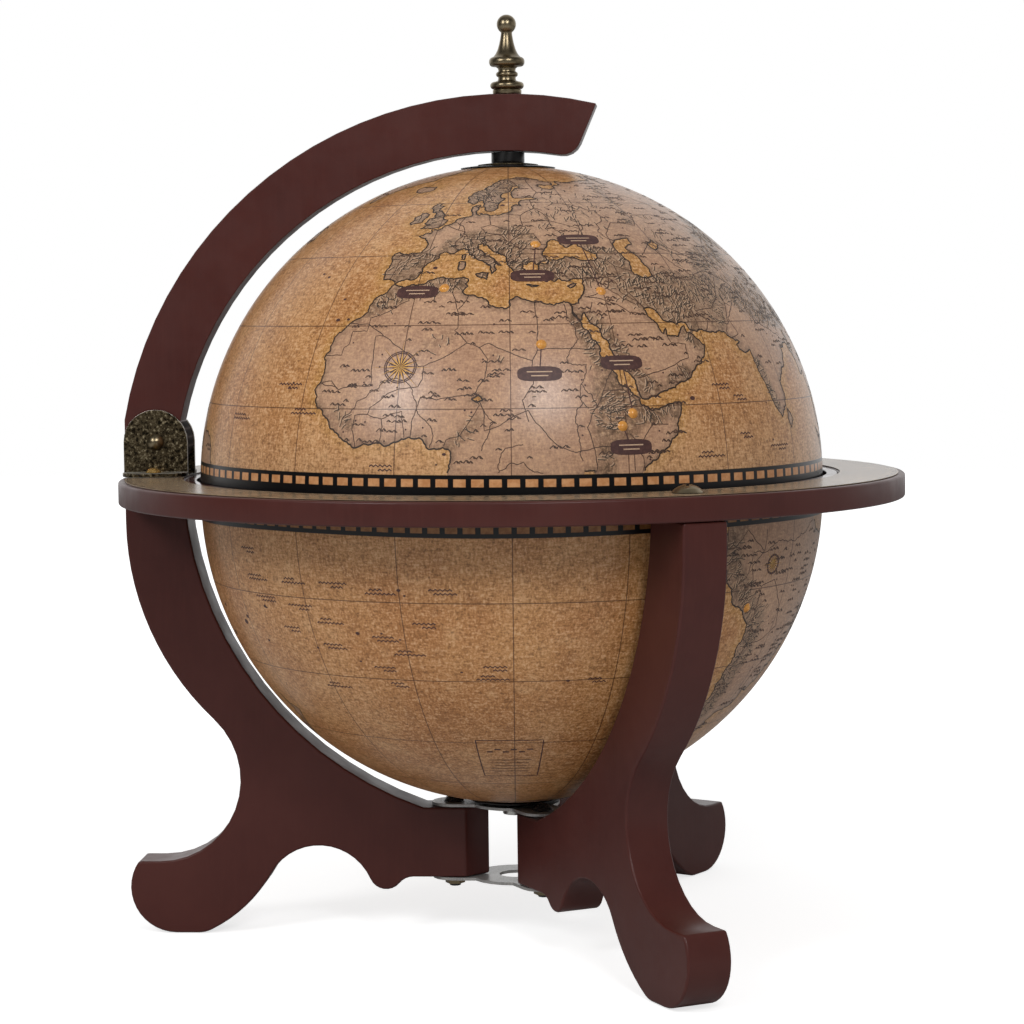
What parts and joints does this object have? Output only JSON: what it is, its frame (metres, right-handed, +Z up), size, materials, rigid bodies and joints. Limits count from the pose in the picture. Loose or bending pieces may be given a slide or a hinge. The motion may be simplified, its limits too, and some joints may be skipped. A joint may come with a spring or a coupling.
{
  "type": "globe bar",
  "caption": "Table globe bar: an antique-style globe split at its equator, its upper half hinged on a curved arm, set in a three-legged wooden stand with a horizon ring.",
  "frame": {"origin": "on the floor, on the globe's vertical axis", "axes": "+Z up along the globe's axis; the meridian arm, its hinge and the left leg lie towards -X; -Y faces the viewer of the picture"},
  "size_m": [0.4162, 0.416, 0.489],
  "materials": {
    "stained_wood": "dark reddish brown satin paint over wood",
    "tray_wood": "dark stained, satin",
    "map_paper": "printed antique-style map paper under satin varnish",
    "ring_paper": "printed paper under gloss varnish",
    "black_edge": "black",
    "black_steel": "black, satin",
    "antique_brass": "dark antique",
    "zinc_steel": "zinc plated"
  },
  "bodies": {
    "stand": {"horizon_ring": "stained_wood", "ring_collar": "stained_wood", "ring_print": "ring_paper", "hub_top_plate": "black_steel", "hub_bottom_plate": "black_steel", "leg_left": "stained_wood", "leg_screw_left": "antique_brass", "hub_bolt_left": "black_steel", "hub_nut_left": "black_steel", "leg_front": "stained_wood", "leg_screw_front": "antique_brass", "hub_bolt_front": "black_steel", "hub_nut_front": "black_steel", "leg_back": "stained_wood", "leg_screw_back": "antique_brass", "hub_bolt_back": "black_steel", "hub_nut_back": "black_steel", "bracket_near": "antique_brass", "bracket_far": "antique_brass", "bracket_screw_near": "antique_brass", "bracket_screw_far": "antique_brass", "hinge_pin": "antique_brass", "hinge_nut": "antique_brass", "pivot_bolt": "zinc_steel", "pivot_washer": "black_steel", "pivot_inner_washer": "zinc_steel", "pivot_nut": "zinc_steel"},
    "arm": {"meridian_arm": "stained_wood", "finial": "antique_brass", "pole_rod": "zinc_steel", "pole_spacer": "black_edge", "pole_washer": "antique_brass", "pole_inner_washer": "zinc_steel", "pole_nut": "zinc_steel"},
    "upper_globe": {"upper_shell": "map_paper", "upper_rim": "black_edge", "north_disc": "black_edge"},
    "lower_globe": {"lower_shell": "map_paper", "lower_rim": "black_edge", "south_disc": "black_edge", "bottle_base": "tray_wood", "glass_shelf": "tray_wood", "glass_tray": "tray_wood"}
  },
  "joints": [
    {"name": "lid_tilt", "type": "hinge", "parent": "stand", "child": "arm", "pos_m": [-0.18962, 0, 0.26558], "axis": [0, -1, 0], "range_deg": [0, 95]},
    {"name": "upper_globe_spin", "type": "hinge", "parent": "arm", "child": "upper_globe", "pos_m": [0, 0, 0.24468], "axis": [0, 0, 1], "continuous": true},
    {"name": "lower_globe_spin", "type": "hinge", "parent": "stand", "child": "lower_globe", "pos_m": [0, 0, 0.23688], "axis": [0, 0, 1], "continuous": true}
  ]
}
